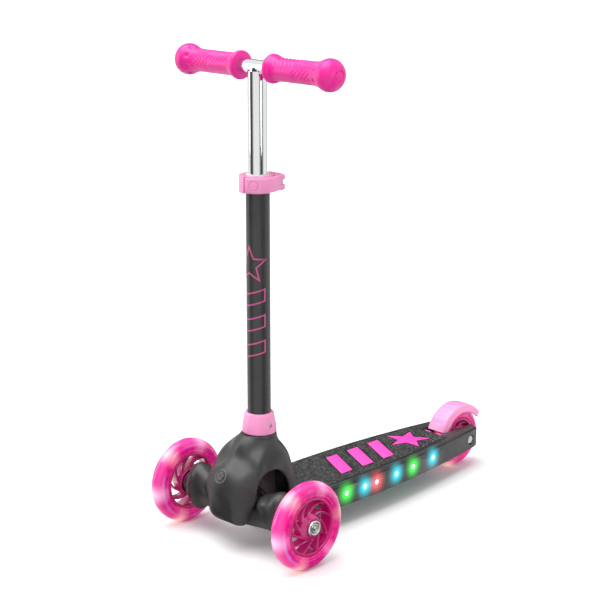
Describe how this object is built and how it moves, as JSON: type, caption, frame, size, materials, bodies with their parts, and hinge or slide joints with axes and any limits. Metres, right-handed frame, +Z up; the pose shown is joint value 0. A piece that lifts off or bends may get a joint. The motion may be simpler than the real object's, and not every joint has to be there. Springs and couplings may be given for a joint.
{
  "type": "kick scooter",
  "caption": "Child's three-wheeled kick scooter with lean steering, height-adjustable handlebar, light-up wheels and deck, and a fender foot brake.",
  "frame": {"origin": "on the ground, midway along the object's length and on its centre plane", "axes": "+X forward, +Y to the rider's left, +Z up"},
  "size_m": [0.55, 0.294, 0.6669],
  "materials": {
    "graphite_plastic": "satin moulded",
    "black_grip": "pebbled anti-slip",
    "pink_print": "satin print",
    "clear_window": "clear, lit from behind",
    "circuit_board": "solder-masked board",
    "black_plastic": "satin moulded",
    "bright_metal": "polished",
    "zinc_steel": "zinc plated",
    "black_paint": "semi-gloss powder coat",
    "natural_nylon": "satin",
    "pale_pink_plastic": "glossy moulded",
    "black_rubber": "matte",
    "chrome": "mirror",
    "hot_pink_rubber": "satin moulded",
    "clear_pink_tyre": "translucent, glossy",
    "magenta_core": "translucent, glossy",
    "magnet_grey": "nickel plated"
  },
  "bodies": {
    "deck": {"deck_board": "graphite_plastic", "grip_mat": "black_grip", "deck_graphic": "pink_print", "light_windows_left": "clear_window", "light_windows_right": "clear_window", "light_strip_left": "circuit_board", "light_strip_right": "circuit_board", "control_board": "circuit_board", "battery_tray": "black_plastic", "battery_cells": "bright_metal", "battery_cover": "graphite_plastic", "battery_cover_screw": "zinc_steel", "front_housing": "graphite_plastic", "housing_screws": "zinc_steel", "steering_bracket": "black_plastic", "bracket_bolts": "zinc_steel", "kingpin_bolt": "zinc_steel", "kingpin_nut": "zinc_steel", "column_tube": "black_paint", "column_bushing": "natural_nylon", "lower_collar": "pale_pink_plastic", "lower_collar_screw": "zinc_steel", "clamp_collar": "pale_pink_plastic", "clamp_bolt": "zinc_steel", "lever_pivot_pin": "zinc_steel", "rear_axle_bolt": "zinc_steel", "rear_axle_nut": "zinc_steel", "rear_axle_spacers": "zinc_steel", "brake_pivot_pin": "zinc_steel", "brake_spring": "zinc_steel"},
    "front_truck": {"truck_beam": "graphite_plastic", "kingpin_bushes": "natural_nylon", "centring_cushion": "black_rubber", "front_axle_bolts": "zinc_steel", "front_axle_nuts": "zinc_steel", "front_axle_spacers": "zinc_steel"},
    "front_wheel_left": {"front_tyre_left": "clear_pink_tyre", "front_core_left": "magenta_core", "front_bearings_left": "bright_metal", "front_magnet_spacer_left": "magnet_grey", "front_light_ring_left": "circuit_board", "front_hub_cap_left": "chrome"},
    "front_wheel_right": {"front_tyre_right": "clear_pink_tyre", "front_core_right": "magenta_core", "front_bearings_right": "bright_metal", "front_magnet_spacer_right": "magnet_grey", "front_light_ring_right": "circuit_board", "front_hub_cap_right": "chrome"},
    "rear_wheel": {"rear_tyre": "clear_pink_tyre", "rear_core": "magenta_core", "rear_bearings": "bright_metal", "rear_bearing_spacer": "zinc_steel"},
    "brake": {"brake_fender": "pale_pink_plastic"},
    "handlebar": {"stem_tube": "chrome", "crossbar": "chrome", "grip_left": "hot_pink_rubber", "grip_right": "hot_pink_rubber", "stem_plug": "black_plastic"},
    "clamp_lever": {"clamp_lever": "pale_pink_plastic"}
  },
  "joints": [
    {"name": "lean_steer", "type": "hinge", "parent": "deck", "child": "front_truck", "pos_m": [0.213, 0, 0.066], "axis": [0.7071, 0, 0.7071], "range_deg": [-14, 14], "stiffness_Nm_per_rad": 60},
    {"name": "front_wheel_left_spin", "type": "hinge", "parent": "front_truck", "child": "front_wheel_left", "pos_m": [0.215, 0.1195, 0.06], "axis": [0, 1, 0], "continuous": true},
    {"name": "front_wheel_right_spin", "type": "hinge", "parent": "front_truck", "child": "front_wheel_right", "pos_m": [0.215, -0.1195, 0.06], "axis": [0, 1, 0], "continuous": true},
    {"name": "rear_wheel_spin", "type": "hinge", "parent": "deck", "child": "rear_wheel", "pos_m": [-0.23, 0, 0.045], "axis": [0, 1, 0], "continuous": true},
    {"name": "brake_press", "type": "hinge", "parent": "deck", "child": "brake", "pos_m": [-0.177, 0, 0.057], "axis": [0, -1, 0], "range_deg": [0, 4.2], "stiffness_Nm_per_rad": 2, "springref_deg": -5.73},
    {"name": "handlebar_height", "type": "slide", "parent": "deck", "child": "handlebar", "axis": [0, 0, 1], "range_m": [-0.11, 0]},
    {"name": "clamp_lever_open", "type": "hinge", "parent": "deck", "child": "clamp_lever", "pos_m": [0.159, 0.014, 0.495], "axis": [0, 0, 1], "range_deg": [0, 120]}
  ]
}
